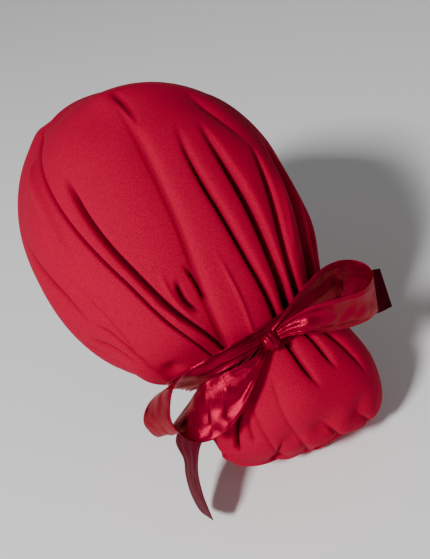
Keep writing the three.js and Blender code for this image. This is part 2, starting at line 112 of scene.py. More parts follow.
# %% [markdown]
# ## The cloth's smooth form
# A cap is cut flat and takes its form from the head and from the gathers. Here the form is a
# soft sock of loops. At angle 90 a loop is on top of the head, at 0 on the wearer's left and at
# -90 at the nape. The crown's loops open like a fan, from the front rim over the head to the
# waist, where the ribbon gathers the cloth, and the pouch's loops go on from the waist. The form
# could be sculpted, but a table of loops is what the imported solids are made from, and it gives
# every spot an angle and a share along the cloth, in which a hidden crease is easy to write.

# %% The cloth's smooth form
# Columns: the loop's top point (y, z), its bottom point (y, z), half its width, the share of the
# height at which it is widest, its sideways shift, and how its sides lean (tilt, sag).
CROWN_LOOPS = [
    (-81.5, 49.0, 82.0, -49.0, 83.0, 0.50, 0.0, 0.0, 0.0),
    (-86.5, 79.5, 85.0, -51.5, 87.0, 0.50, 0.0, 1.5, 0.0),
    (-66.5, 110.5, 88.5, -53.5, 90.0, 0.50, -1.0, 1.5, 0.0),
    (-22.5, 131.5, 91.0, -54.5, 95.5, 0.50, -2.0, 1.0, 2.0),
    (27.0, 149.0, 91.5, -55.0, 97.0, 0.50, -1.5, 0.5, 3.5),
    (77.0, 136.0, 92.5, -54.5, 91.5, 0.51, -1.5, 0.0, 4.5),
    (119.0, 98.0, 94.0, -53.5, 84.5, 0.52, -3.5, -1.0, 4.0),
    (144.5, 50.0, 97.0, -52.5, 75.5, 0.52, -4.5, 0.0, 6.5),
    (150.5, 1.5, 99.0, -49.5, 62.0, 0.52, -13.0, 2.0, 6.0),
]
POUCH_LOOPS = [
    (150.5, 1.5, 99.0, -49.5, 62.0, 0.52, -13.0, 2.0, 6.0),
    (165.0, -15.0, 100.5, -71.0, 59.0, 0.50, -19.0, -5.0, 8.0),
    (183.0, -41.0, 106.0, -95.0, 65.0, 0.50, -19.5, -12.0, 6.0),
    (183.0, -79.0, 117.0, -113.0, 61.5, 0.50, -17.5, -17.0, 4.0),
    (158.0, -109.0, 138.0, -112.0, 46.5, 0.50, -7.5, -15.0, 4.0),
]
# The seam between band and crown, from the left of the waist over the top to the right. Columns:
# the rim angle below it, the seam's angle and share along the cloth, the waist angle above it.
SEAM_LEFT = [
    (-60, 7, 0.95, 5),
    (-50, 14, 0.885, 14),
    (-36, 19, 0.80, 24),
    (-22, 20, 0.70, 34),
    (-4, 22, 0.60, 46),
    (14, 30, 0.55, 57),
    (36, 42, 0.48, 67),
    (62, 64, 0.36, 78),
    (90, 90, 0.31, 90),
]
SEAM = SEAM_LEFT + [(180 - r, 180 - s, along, 180 - w) for r, s, along, w in SEAM_LEFT[-2::-1]]
NAPE_WAIST_LEFT, NAPE_WAIST_RIGHT = -3, -177
ALONG_STEP = 0.004  # the small step of place that slopes are measured over
TINY = 1e-9


def smooth_rows(rows, place):
    """Rows at places from 0 to 1: a cubic curve through them, whose slope at a row is that of the
    line between its neighbours."""
    rows = np.asarray(rows, float)
    steps = np.clip(place, 0, 1) * (len(rows) - 1)
    i = np.minimum(steps.astype(int), len(rows) - 2)
    f = (steps - i)[..., None]
    longer = np.vstack([2 * rows[0] - rows[1], rows, 2 * rows[-1] - rows[-2]])
    a, b, c, d = longer[i], longer[i + 1], longer[i + 2], longer[i + 3]
    bend, twist = 2 * a - 5 * b + 4 * c - d, 3 * b - a - 3 * c + d
    return 0.5 * (2 * b + (c - a) * f + bend * f**2 + twist * f**3)


def cloth_point(loops, angle, along):
    """Points of the smooth cloth: a loop's middle plus cosine and sine shares of its half axes."""
    angle, along = np.broadcast_arrays(np.radians(angle), along)
    top_y, top_z, bot_y, bot_z, half, waist, shift, tilt, sag = np.moveaxis(
        smooth_rows(loops, along), -1, 0
    )
    c, s = np.cos(angle), np.sin(angle)
    mid_y, mid_z = bot_y + (top_y - bot_y) * waist, bot_z + (top_z - bot_z) * waist
    end_y, end_z = np.where(s > 0, top_y, bot_y), np.where(s > 0, top_z, bot_z)
    span_y, span_z = top_y - bot_y, top_z - bot_z
    lean = (tilt * c - sag * c * c) / np.hypot(span_y, span_z)
    x = half * c + shift
    y = mid_y + (end_y - mid_y) * abs(s) + lean * span_z
    z = mid_z + (end_z - mid_z) * abs(s) - lean * span_y
    return np.stack([x, y, z], axis=-1)


def unit(vectors):
    """Vectors scaled to length one."""
    return vectors / np.maximum(np.linalg.norm(vectors, axis=-1, keepdims=True), TINY)


def cloth_frame(loops, angle, along):
    """Outward direction, mm for each degree round a loop and mm for the whole way along."""
    before, after = np.maximum(along - ALONG_STEP, 0), np.minimum(along + ALONG_STEP, 1)
    round_loop = cloth_point(loops, angle + 0.5, along) - cloth_point(loops, angle - 0.5, along)
    onward = cloth_point(loops, angle, after) - cloth_point(loops, angle, before)
    outward = unit(np.cross(onward, round_loop))
    mm_along = np.linalg.norm(onward, axis=-1) / np.maximum(after - before, TINY)
    return outward, np.linalg.norm(round_loop, axis=-1), mm_along


print("Crown loops:", len(CROWN_LOOPS), " pouch loops:", len(POUCH_LOOPS))

# %% [markdown]
# ## Creases
# The ribbon squeezes about 400 mm of cloth into its ring, so the cloth stands in pillows with
# deep creases between them that run into the waist and die out towards the rim. A simulation
# could gather the cloth, but these creases have to lie where the photo shows them. So a crease is
# a path with a depth and two spreads, since sewn gathers lean over: one wall is steep and the
# other rolls away softly. At its bottom is a narrow slot, where the walls nearly meet and little
# light gets in. The slots are also painted as shade: the dye is darkened there. Paths that the
# photo shows are in its pixels, and hidden ones in (angle, share along the cloth).


# %% Creases
def crease(name, depth, left, right, slot, core=0.6, fade=(0.25, 0.0), photo=None, cloth=None):
    """One crease in mm: its depth, the spread of its soft sides, the width of its narrow slot and
    the slot's share of the depth. fade is how much of its length fades in and out at its ends."""
    return dict(
        name=name, depth=depth, left=left, right=right, slot=slot, core=core, fade=fade,
        photo=photo, cloth=cloth,
    )


def ridge(name, height, spread, fade, photo):
    """One ridge in mm, laid like a crease: its height and the spread of its sides."""
    return dict(name=name, height=height, spread=spread, fade=fade, photo=photo)


CROWN_CREASES = [
    crease("thin overlap", 5.5, 5, 3, 1.0, 0.6, (0.15, 0.0), photo=[
        (47, 125), (41, 138), (40, 160), (43, 176), (50, 196), (65, 222), (90, 250), (115, 276),
        (140, 300), (165, 322), (190, 341), (208, 358)]),
    crease("side valley", 8.5, 5, 3, 1.8, 0.65, (0.15, 0.0), photo=[
        (62, 170), (69, 188), (80, 206), (97, 235), (120, 260), (140, 280), (165, 304),
        (190, 326), (212, 342), (222, 351)]),
    crease("pinch left", 8.5, 3.5, 3, 1.9, 0.65, (0.3, 0.25), photo=[
        (175, 275), (178, 290), (185, 302), (195, 311), (204, 318)]),
    crease("pinch right", 8.5, 3.5, 3, 1.9, 0.65, (0.3, 0.25), photo=[
        (181, 264), (190, 272), (197, 285), (205, 299), (210, 311)]),
    crease("fold tip shade", 4.4, 3, 9, 2.6, 0.3, (0.1, 0.75), photo=[
        (113, 94), (120, 98), (127, 106), (133, 117), (139, 131), (143, 141)]),
    crease("long crease", 9.5, 22, 2.0, 1.5, 0.14, (0.3, 0.0), photo=[
        (107, 98), (121, 112), (133, 130), (150, 160), (165, 190), (177, 225), (190, 258),
        (207, 300), (228, 352)]),
    crease("top valley", 4.2, 13, 6, 2.5, 0.0, (0.4, 0.6), photo=[
        (176, 87), (196, 98), (216, 112), (234, 128), (248, 143), (259, 160)]),
    crease("back valley 1", 8.5, 4, 2.6, 1.8, 0.65, (0.35, 0.0), photo=[
        (176, 118), (191, 158), (204, 184), (219, 208), (233, 228), (250, 260), (266, 292),
        (276, 312)]),
    crease("back valley 2", 12.0, 5, 2.6, 2.8, 0.7, (0.4, 0.0), photo=[
        (194, 113), (216, 148), (226, 162), (244, 194), (260, 224), (274, 258), (288, 300)]),
    crease("back valley 3", 10.5, 4.5, 2.6, 2.2, 0.7, (0.35, 0.0), photo=[
        (247, 137), (259, 160), (270, 188), (278, 212), (286, 246), (294, 274), (299, 292)]),
    crease("right valley 1", 12.0, 6, 3, 4.2, 0.75, (0.35, 0.0), photo=[
        (262, 138), (275, 158), (286, 176), (298, 204), (306, 232), (310, 260), (314, 276)]),
    crease("right valley 2", 5.0, 6, 6, 2.0, 0.4, cloth=[(162, 0.55), (161, 0.75), (154, 1.0)]),
    crease("right valley 3", 4.5, 6, 5, 2.0, 0.4, cloth=[(168, 0.62), (168, 0.80), (163, 1.0)]),
    crease("left band crease", 6.0, 9, 4, 3.6, 0.3, (0.5, 0.4), photo=[
        (25, 232), (31, 254), (45, 275), (65, 300), (88, 322), (98, 330)]),
    crease("left hem crease", 4.2, 7, 4, 2.6, 0.3, (0.4, 0.4), photo=[
        (88, 337), (102, 345), (122, 356), (145, 366)]),
    crease("left hem line", 2.6, 4, 2.4, 1.7, 0.4, (0.3, 0.3), photo=[
        (91, 321), (113, 337), (143, 358), (155, 366)]),
    crease("right band crease", 2.6, 4, 7, 1.4, 0.4, (0.35, 0.35), cloth=[
        (155, 0.29), (166, 0.52), (175, 0.70)]),
    crease("right hem crease", 2.2, 4, 6, 1.4, 0.4, (0.35, 0.35), cloth=[
        (200, 0.14), (188, 0.65), (178, 0.85)]),
]
POUCH_CREASES = [
    crease("pouch valley 1", 7.5, 4, 2.5, 1.5, 0.6, (0.0, 0.3), photo=[
        (283, 336), (290, 346), (299, 360), (304, 367), (312, 378), (321, 389)]),
    crease("pouch valley 2", 7.0, 4, 2.5, 1.5, 0.6, (0.0, 0.3), photo=[
        (307, 332), (325, 352), (338, 371)]),
    crease("pouch valley 3", 5.0, 5, 3, 1.5, 0.4, (0.0, 0.35), photo=[
        (328, 331), (346, 347), (360, 362), (368, 380)]),
    crease("pouch fine crease 1", 2.4, 7, 2.4, 1.0, 0.2, (0.2, 0.1), photo=[
        (270, 371), (278, 399), (298, 439), (306, 451)]),
    crease("pouch fine crease 2", 2.6, 7, 2.4, 1.0, 0.2, (0.2, 0.0), photo=[
        (250, 399), (258, 423), (268, 441), (277, 457)]),
    crease("pouch pleat", 6.5, 6, 3, 1.5, 0.5, (0.25, 0.1), photo=[
        (243, 408), (237, 423), (236, 438), (238, 453)]),
    crease("pouch pleat shade", 3.0, 3, 7, 1.2, 0.3, (0.25, 0.2), photo=[
        (246, 413), (250, 430), (255, 446)]),
    crease("pouch edge crease", 3.4, 5, 5, 1.4, 0.4, (0.3, 0.2), photo=[
        (208, 439), (218, 449), (230, 457)]),
    crease("ruffle crease 1", 4.5, 3, 7, 1.5, 0.3, (0.4, 0.0), photo=[
        (286, 440), (282, 449), (279, 458)]),
    crease("ruffle crease 2", 4.0, 7, 3, 1.5, 0.2, (0.4, 0.0), photo=[
        (297, 437), (303, 446), (308, 454)]),
    crease("ruffle crease 3", 5.0, 8, 3, 1.5, 0.3, (0.4, 0.0), photo=[
        (322, 420), (331, 430), (340, 438)]),
    crease("ruffle crease 4", 4.5, 7, 3, 1.5, 0.2, (0.4, 0.0), photo=[
        (352, 408), (362, 416), (369, 422)]),
]
CROWN_RIDGES = [
    ridge("long ridge", 1.4, 1.4, (0.2, 0.0), [
        (124, 108), (137, 131), (154, 162), (169, 192), (181, 226), (193, 258), (210, 298),
        (230, 350)]),
    ridge("fine ridge", 1.2, 1.4, (0.3, 0.0), [
        (213, 248), (221, 262), (228, 273), (241, 301), (252, 332)]),
    ridge("pinch ridge", 1.3, 1.6, (0.3, 0.2), [
        (158, 268), (163, 282), (172, 297), (186, 313), (197, 321)]),
    ridge("overlap ridge", 1.2, 2.0, (0.2, 0.2), [(146, 303), (165, 312), (183, 328)]),
    ridge("right soft ridge", 1.0, 3.0, (0.3, 0.3), [
        (274, 165), (284, 192), (291, 225), (297, 258)]),
    ridge("band ridge", 2.8, 4.5, (0.2, 0.3), [
        (32, 164), (40, 192), (52, 228), (66, 255), (84, 280)]),
]
POUCH_RIDGES = [
    ridge("pleat ridge", 1.5, 2.0, (0.2, 0.2), [(231, 420), (231, 436), (234, 452)]),
]


def even_creases(name, first, step, count, start, end, depth, spread, fade):
    """Evenly spaced creases for the parts that the photo doesn't show, each a little bowed."""
    middle = (start + end) / 2
    return [
        crease(name, depth, spread, spread, slot=1.5, core=0.3, fade=fade, cloth=[
            (a, start), (a + 2, middle), (a, end)])
        for a in first + step * np.arange(count)
    ]


CROWN_CREASES += even_creases("nape gather", -160, 20, 8, 0.45, 1.0, 1.8, 5, (0.35, 0.0))
POUCH_CREASES += even_creases("pouch gather", 170, 22, 9, 0.0, 0.4, 2.5, 5, (0.0, 0.4))

SEARCH_ANGLES, SEARCH_PLACES = 1080, 240
MOST_BENDS = 4


def seen_spots(loops):
    """A fine grid of the spots of the smooth cloth that face the camera, with their pixels."""
    angles, places = np.linspace(-90, 270, SEARCH_ANGLES), np.linspace(0, 1, SEARCH_PLACES)
    angle, along = np.meshgrid(angles, places)
    points = cloth_point(loops, angle, along)
    outward, _, _ = cloth_frame(loops, angle, along)
    eye = PHOTO_TARGET + PHOTO_BACK * PHOTO_DISTANCE
    facing = (outward * (eye - points)).sum(-1) > 0
    across, down = to_photo(points)
    return angle[facing], along[facing], across[facing], down[facing]


def cloth_spots(seen, pixels):
    """Angles and places along the cloth under photo pixels: the nearest spot that faces us."""
    angle, along, across, down = seen
    near = [np.argmin((across - x) ** 2 + (down - y) ** 2) for x, y in pixels]
    return angle[near], along[near]


def lay_crease(seen, row):
    """Adds to a crease its start and end along the cloth and a polynomial for its angle between
    them. An end that doesn't fade runs on to the end of the cloth."""
    if row["photo"]:
        angles, alongs = cloth_spots(seen, row["photo"])
        order = min(len(angles) // 3 + 1, MOST_BENDS)
    else:
        angles, alongs = np.array(row["cloth"], float).T
        order = 2
    reach = alongs.min(), alongs.max()
    fade_in, fade_out = row["fade"]
    start, end = reach[0] if fade_in else 0.0, reach[1] if fade_out else 1.0
    curve = np.polyfit(alongs, angles, order)
    return dict(row, start=start, end=end, curve=curve, reach=reach)


seen_crown, seen_pouch = seen_spots(CROWN_LOOPS), seen_spots(POUCH_LOOPS)
crown_creases = [lay_crease(seen_crown, row) for row in CROWN_CREASES]
pouch_creases = [lay_crease(seen_pouch, row) for row in POUCH_CREASES]
crown_ridges = [lay_crease(seen_crown, row) for row in CROWN_RIDGES]
pouch_ridges = [lay_crease(seen_pouch, row) for row in POUCH_RIDGES]

CREASE_ROUNDING = 0.7  # mm at the bottom of a crease, about the cloth's own thickness
# The painted shade in the slots: full where a slot is this deep, and a little narrower than the
# slot
FULL_SHADE_DEPTH = 2.6  # mm of slot that lets in hardly any light
SHADE_NARROWING = 0.8  # the shade's width as a share of the slot's
MEET_SHARPNESS = 3.0  # where creases meet, a high power lets the deeper one win


def eased(x):
    """A smooth step from 0 to 1."""
    x = np.clip(x, 0, 1)
    return x * x * (3 - 2 * x)


def beside(row, angle, along, mm_per_degree, mm_along):
    """How far spots lie beside a path, in mm, and how much of its depth is left there."""
    place = np.clip(along, *row["reach"])
    slope = np.polyval(np.polyder(row["curve"]), place) * mm_per_degree / mm_along
    aside = (angle - np.polyval(row["curve"], place) + 180) % 360 - 180
    aside = aside * mm_per_degree / np.sqrt(1 + slope**2)
    length = row["end"] - row["start"]
    fade_in, fade_out = row["fade"]
    strength = (along >= row["start"]) * (along <= row["end"] + TINY) * 1.0
    if fade_in:
        strength = strength * eased((along - row["start"]) / (fade_in * length))
    if fade_out:
        strength = strength * eased((row["end"] - along) / (fade_out * length))
    return aside, strength


def crease_dips(creases, angle, along, mm_per_degree, mm_along):
    """Depth in mm: wide sides that fall off exponentially, rounded at the bottom, and a narrow
    bell-shaped slot. Where creases meet, it is the cube root of the sum of their cubes."""
    total = np.zeros_like(mm_per_degree)
    for row in creases:
        aside, strength = beside(row, angle, along, mm_per_degree, mm_along)
        spread = np.where(aside < 0, row["left"], row["right"])
        away = np.sqrt(aside**2 + CREASE_ROUNDING**2) - CREASE_ROUNDING
        shape = (1 - row["core"]) * np.exp(-away / spread)
        shape = shape + row["core"] * np.exp(-((aside / row["slot"]) ** 2))
        total += (row["depth"] * strength * shape) ** MEET_SHARPNESS
    return total ** (1 / MEET_SHARPNESS)


def painted_slot_shade(creases, angle, along, mm_per_degree, mm_along):
    """Painted shade for the dye: 1 at the bottom of the narrow slots and 0 outside them."""
    shade = np.zeros_like(mm_per_degree)
    for row in creases:
        aside, strength = beside(row, angle, along, mm_per_degree, mm_along)
        deep = np.clip(row["depth"] * row["core"] / FULL_SHADE_DEPTH, 0, 1)
        narrow = SHADE_NARROWING * row["slot"]
        shade = np.maximum(shade, strength * deep * np.exp(-((aside / narrow) ** 2)))
    return shade


def ridge_rises(ridges, angle, along, mm_per_degree, mm_along):
    """Height in mm: a bell-shaped rise beside each ridge's path, which fades at both ends."""
    total = np.zeros_like(mm_per_degree)
    for row in ridges:
        aside, strength = beside(row, angle, along, mm_per_degree, mm_along)
        total += row["height"] * strength * np.exp(-((aside / row["spread"]) ** 2))
    return total


# Soft swells and dents: a photo pixel, a height and a radius in mm
CROWN_SWELLS = [
    ("top left bulge", (40, 133), 1.8, 11),
    ("left bulge", (21, 235), 0.5, 22),
    ("hem dent", (174, 371), -4.0, 7),
    ("fold tip", (104, 97), 2.0, 10),
    ("kink dent", (50, 121), -2.4, 6),
    ("top left hollow", (100, 120), -1.8, 15),
]
POUCH_SWELLS = [
    ("ruffle 1", (226, 455), 2.2, 9),
    ("ruffle 2", (257, 463), 0.6, 9),
    ("notch 1", (279, 459), -3.5, 5),
    ("dark dent 1", (292, 442), -4.0, 10),
    ("ruffle 3", (315, 453), 2.0, 7),
    ("dark dent 2", (324, 428), -4.5, 11),
    ("notch 2", (340, 439), -4.5, 7),
    ("ruffle 4", (366, 425), 2.5, 9),
    ("dark dent 3", (360, 410), -3.5, 9),
    ("middle bulge", (300, 400), 4.0, 18),
]


def lay_swells(loops, seen, rows):
    """Swells with their points on the smooth cloth, their heights and their radii."""
    _, pixels, heights, radii = zip(*rows)
    return list(zip(cloth_point(loops, *cloth_spots(seen, pixels)), heights, radii))


def swell_heights(swells, points):
    """Height in mm: a bell round each swell's point, by distance in space."""
    total = np.zeros(points.shape[:-1])
    for centre, height, radius in swells:
        total += height * np.exp(-((points - centre) ** 2).sum(-1) / radius**2)
    return total


crown_swells = lay_swells(CROWN_LOOPS, seen_crown, CROWN_SWELLS)
pouch_swells = lay_swells(POUCH_LOOPS, seen_pouch, POUCH_SWELLS)
crown_folds = crown_creases, crown_ridges, crown_swells
pouch_folds = pouch_creases, pouch_ridges, pouch_swells
deepest = max(crown_creases + pouch_creases, key=lambda row: row["depth"])
print("Creases:", len(crown_creases), "on the crown and band,", len(pouch_creases), "on the pouch")
print("Deepest crease:", deepest["name"], deepest["depth"], "mm")
print("Swells:", ", ".join(row[0] for row in CROWN_SWELLS + POUCH_SWELLS))

# %% [markdown]
# ## Meshes from grids
# Cloth is a thin sheet with two sides. A Solidify modifier could give it its wall, but under a
# deep crease the inner side would cross itself. So every cloth piece is one grid of walls, with
# an outer and an inner point at each spot. Its profile runs up the outer face, round the edge,
# down the inner face and round the other edge, so that the piece is closed and its edges are
# rounded like turned cloth.


# %% Meshes from grids
def quads_between(columns, rows, ring, closed_profile):
    """Corner numbers of the faces of a grid whose points are numbered column by column."""
    c = np.arange(columns if ring else columns - 1)[:, None]
    r = np.arange(rows if closed_profile else rows - 1)[None, :]
    next_c, next_r = (c + 1) % columns, (r + 1) % rows
    corners = [c * rows + r, c * rows + next_r, next_c * rows + next_r, next_c * rows + r]
    return np.stack(np.broadcast_arrays(*corners), axis=-1).reshape(-1, 4)


def fan(columns, rows, row, pole, turned):
    """Triangles that close one row of a ring of columns to a pole, turned over where asked."""
    here = np.arange(columns) * rows + row
    after = np.roll(here, -1)
    pair = (after, here) if turned else (here, after)
    return np.stack([*pair, np.full(columns, pole)], axis=-1)


def make_piece(name, points, quads, triangles=(), shade=None):
    """A mesh object from points in mm and the corner numbers of its faces, with smooth normals.
    shade is the painted shade for the dye at each point, by how deep in a slot it lies."""
    quads = np.asarray(quads, np.int32).reshape(-1, 4)
    triangles = np.asarray(triangles, np.int32).reshape(-1, 3)
    corners = np.concatenate([quads.ravel(), triangles.ravel()])
    sizes = np.concatenate([np.full(len(quads), 4), np.full(len(triangles), 3)])
    starts = np.concatenate([[0], np.cumsum(sizes)[:-1]])
    mesh = bpy.data.meshes.new(name)
    mesh.vertices.add(len(points))
    mesh.vertices.foreach_set("co", (np.asarray(points) / 1000).astype(np.float32).ravel())
    mesh.loops.add(len(corners))
    mesh.loops.foreach_set("vertex_index", corners.astype(np.int32))
    mesh.polygons.add(len(sizes))
    mesh.polygons.foreach_set("loop_start", starts.astype(np.int32))
    mesh.polygons.foreach_set("use_smooth", np.ones(len(sizes), bool))
    mesh.update(calc_edges=True)
    if shade is not None:
        attribute = mesh.attributes.new("painted_fold_shade", "FLOAT", "POINT")
        attribute.data.foreach_set("value", shade.astype(np.float32).ravel())
    piece = bpy.data.objects.new(name, mesh)
    bpy.context.scene.collection.objects.link(piece)
    areas = np.empty(len(sizes), np.float32)
    mesh.polygons.foreach_get("area", areas)
    count = len(quads) * 2 + len(triangles)
    print(f"{name}: {count} triangles, {areas.sum() / 2:.4f} square metres a side")
    return piece


def wall_piece(name, outer, inner, ring, shade=None):
    """A closed wall from outer and inner grids [column, row]. Each border gets a row halfway
    between the sides and half a thickness further out, which rounds its edge."""
    columns, rows = outer.shape[:2]
    thick = np.linalg.norm(outer - inner, axis=-1, keepdims=True)
    low_out = unit(outer[:, 0] - outer[:, 1]) * thick[:, 0] / 2
    high_out = unit(outer[:, -1] - outer[:, -2]) * thick[:, -1] / 2
    low_edge = (outer[:, 0] + inner[:, 0]) / 2 + low_out
    high_edge = (outer[:, -1] + inner[:, -1]) / 2 + high_out
    profile = np.concatenate(
        [outer, high_edge[:, None], inner[:, ::-1], low_edge[:, None]], axis=1
    )
    size = profile.shape[1]
    quads = quads_between(columns, size, ring, True)
    triangles = []
    if not ring:  # a strip's first and last column are closed too
        r = np.arange(rows - 1)
        inner_at = 2 * rows - r
        first = np.stack([r + 1, r, inner_at, inner_at - 1], axis=-1)
        last = np.stack([r, r + 1, inner_at - 1, inner_at], axis=-1) + (columns - 1) * size
        quads = np.concatenate([quads, first, last])
        high, low = rows, 2 * rows + 1
        ends = np.array([[rows + 1, high, rows - 1], [0, low, 2 * rows]])
        triangles = np.concatenate([ends, ends[:, ::-1] + (columns - 1) * size])
    # The painted shade darkens the outer face only
    if shade is not None:
        shade = np.concatenate([shade, shade[:, -1:], shade[:, ::-1] * 0, shade[:, :1]], axis=1)
    return make_piece(name, profile.reshape(-1, 3), quads, triangles, shade)


def lowest_near(dips, reach, ring):
    """The deepest dip within reach columns and rows, averaged, so that a lining clears it."""
    for axis in (0, 1):
        pad = [(0, 0), (0, 0)]
        pad[axis] = (reach, reach)
        mode = "wrap" if ring and axis == 0 else "edge"
        for combine in (np.max, np.mean):
            wide = np.pad(dips, pad, mode=mode)
            steps = range(2 * reach + 1)
            size = dips.shape[axis]
            dips = combine([np.take(wide, range(k, k + size), axis=axis) for k in steps], axis=0)
    return dips


CLOTH_WALL = 1.0  # mm
PILLOW_LIFT = 0.35  # mm, by which the pillows between the creases stand proud
LINING_REACH = 4  # grid spots to each side that the lining is smoothed over


def cloth_walls(loops, folds, angle, along, lift=0.0, lining=1.0, ring=False):
    """Outer and inner points of the creased cloth and the painted shade in its slots. Where lining
    is
    1 the inner side runs smoothly below the creases, and where it is 0 the wall stays thin."""
    creases, ridges, swells = folds
    outward, mm_per_degree, mm_along = cloth_frame(loops, angle, along)
    dips = crease_dips(creases, angle, along, mm_per_degree, mm_along)
    base = cloth_point(loops, angle, along)
    rises = ridge_rises(ridges, angle, along, mm_per_degree, mm_along)
    dips = dips - rises - swell_heights(swells, base) - PILLOW_LIFT
    outer_height = lift - dips
    spare = np.maximum(lowest_near(dips, LINING_REACH, ring) - dips, 0)
    inner_height = outer_height - CLOTH_WALL - spare * lining
    outer = base + outward * outer_height[..., None]
    inner = base + outward * inner_height[..., None]
    return outer, inner, painted_slot_shade(creases, angle, along, mm_per_degree, mm_along)


# %% [markdown]
# ## Crown
# The crown is the main cloth over the back of the head. A sewer gathers it at the waist and laps
# its lower edge over the band. It could be one sheet with the band and a drawn seam, but the lap
# casts the fine shadow that the photo shows. Its grid columns run from the seam to the waist, the
# way the gathers run, so that the columns are closest where the creases are sharpest.

# %% Crown
CROWN_COLUMNS, CROWN_ROWS = 450, 108
ROW_CROWDING = 1.1  # above 1, rows lie closer together near the seam
SEAM_GAP = 0.35  # mm between neighbouring pieces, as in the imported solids
LAP_LIFT, LAP_FADE = 1.0, 5.0  # mm up over the band, and mm over which that dies out
LINING_START, LINING_FADE = 6.0, 10.0  # mm from the seam where the lining begins, and its run

seam = smooth_rows(SEAM, np.linspace(0, 1, CROWN_COLUMNS))
t = np.linspace(0, 1, CROWN_ROWS)[None, :] ** ROW_CROWDING
_, seam_per_degree, seam_along_mm = cloth_frame(CROWN_LOOPS, seam[:, 1], seam[:, 2])
upward = np.sign(90 - seam[:, 1])
start_angle = seam[:, 1] + upward * SEAM_GAP / seam_per_degree
start_along = seam[:, 2] + SEAM_GAP / seam_along_mm
crown_angle = start_angle[:, None] + (seam[:, 3] - start_angle)[:, None] * t
crown_along = start_along[:, None] + (1 - start_along)[:, None] * t
from_seam = np.abs(crown_along - start_along[:, None]) * seam_along_mm[:, None]
lap = LAP_LIFT * np.exp(-from_seam / LAP_FADE)
lining = eased((from_seam - LINING_START) / LINING_FADE)
crown_outer, crown_inner, shade = cloth_walls(
    CROWN_LOOPS, crown_folds, crown_angle, crown_along, lap, lining
)
crown = wall_piece("crown_cloth", crown_outer, crown_inner, ring=False, shade=shade)

# %% [markdown]
# ## Front band
# The band is the hem round the head opening. It is a separate strip, wide over the forehead and
# the ears and narrower at the nape. It could be the crown's own hem, but a strip of its own can
# be tucked under the crown's lapped edge, which shows as one fine line in the photo. Its columns
# are spaced evenly round the head, from the rim to the seam, or to the waist at the nape.

# %% Front band
BAND_COLUMNS, BAND_ROWS = 560, 72
SEAM_STEPS, NAPE_STEPS = 241, 40
TUCK_UNDER, TUCK_DROP = 4.0, 1.45  # mm that the band goes on under the crown, and mm down
TUCK_START, TUCK_RUN = 1.6, 1.9  # mm before the seam where it goes down, and mm that takes
AT_WAIST = 0.999

side = smooth_rows(SEAM, np.linspace(0, 1, SEAM_STEPS))[:, :3]
share = np.linspace(0, 1, NAPE_STEPS + 1)[1:-1]
rim_left, rim_right = SEAM[0][0], -180 - SEAM[0][0]
nape_rim = 360 + rim_right + (rim_left - rim_right) * share
nape_waist = 360 + NAPE_WAIST_RIGHT + (NAPE_WAIST_LEFT - NAPE_WAIST_RIGHT) * share
nape = np.stack([nape_rim, nape_waist, np.ones_like(share)], axis=-1)
keys = np.concatenate([side, nape, side[:1] + [360, 360, 0]])
middle = cloth_point(CROWN_LOOPS, (keys[:, 0] + keys[:, 1]) / 2, keys[:, 2] / 2)
walked = np.concatenate([[0], np.cumsum(np.linalg.norm(np.diff(middle, axis=0), axis=1))])
even = np.linspace(0, walked[-1], BAND_COLUMNS + 1)[:-1]
rim_angle, end_angle, end_along = (np.interp(even, walked, keys[:, k]) for k in range(3))
band_end = cloth_point(CROWN_LOOPS, end_angle, end_along)
band_length = np.linalg.norm(band_end - cloth_point(CROWN_LOOPS, rim_angle, 0 * even), axis=-1)
under_crown = np.where(end_along < AT_WAIST, 1.0, 0.0)
past = TUCK_UNDER * under_crown / band_length
t = np.linspace(0, 1, BAND_ROWS)[None, :] * (1 + past[:, None])
band_angle = rim_angle[:, None] + (end_angle - rim_angle)[:, None] * t
band_along = np.clip(end_along[:, None] * t, 0, 1)
beyond = (t - 1) * band_length[:, None]
tuck = -TUCK_DROP * eased((beyond + TUCK_START) / TUCK_RUN) * under_crown[:, None]
lining = eased(-(beyond + LINING_START) / LINING_FADE)
band_outer, band_inner, shade = cloth_walls(
    CROWN_LOOPS, crown_folds, band_angle, band_along, tuck, lining, ring=True
)
band = wall_piece("front_band_cloth", band_outer, band_inner, ring=True, shade=shade)

# %% [markdown]
# ## Bun pouch
# The pouch is a bag of the same cloth behind the waist that holds gathered hair. Its cloth spreads
# out of the ribbon in folds, and its closed end is ruffled where the cloth turns under. A ball
# could be pressed into this shape, but loops like the crown's let the same creases serve here,
# and a small dome of rows that shrink to a pole closes the end.

# %% Bun pouch
POUCH_COLUMNS, POUCH_ROWS, POUCH_END_ROWS = 440, 84, 14
POUCH_END_RISE = 5.0  # mm that the dome stands out

pouch_angle = np.linspace(0, 360, POUCH_COLUMNS, endpoint=False)[:, None]
_, _, waist_mm = cloth_frame(POUCH_LOOPS, np.array([90.0, -90.0]), np.zeros(2))
pouch_along = np.linspace((SEAM_GAP / waist_mm).max(), 1, POUCH_ROWS)[None, :]
pouch_angle, pouch_along = np.broadcast_arrays(pouch_angle, pouch_along)
pouch_outer, pouch_inner, shade = cloth_walls(
    POUCH_LOOPS, pouch_folds, pouch_angle, pouch_along, ring=True
)


def with_dome(grid, axis, rise):
    """The grid with rows added that shrink its last row to a point, like a quarter circle."""
    turn = np.linspace(0, np.pi / 2, POUCH_END_ROWS + 2)[1:-1][None, :, None]
    middle = grid[:, -1].mean(axis=0)
    dome = (grid[:, -1:] - middle) * np.cos(turn) + middle + axis * rise * np.sin(turn)
    return np.concatenate([grid, dome], axis=1), middle + axis * rise


END_AXIS = unit(np.array([0.0, -0.15, -1.0]))
outer, outer_pole = with_dome(pouch_outer, END_AXIS, POUCH_END_RISE)
inner, inner_pole = with_dome(pouch_inner, END_AXIS, POUCH_END_RISE)


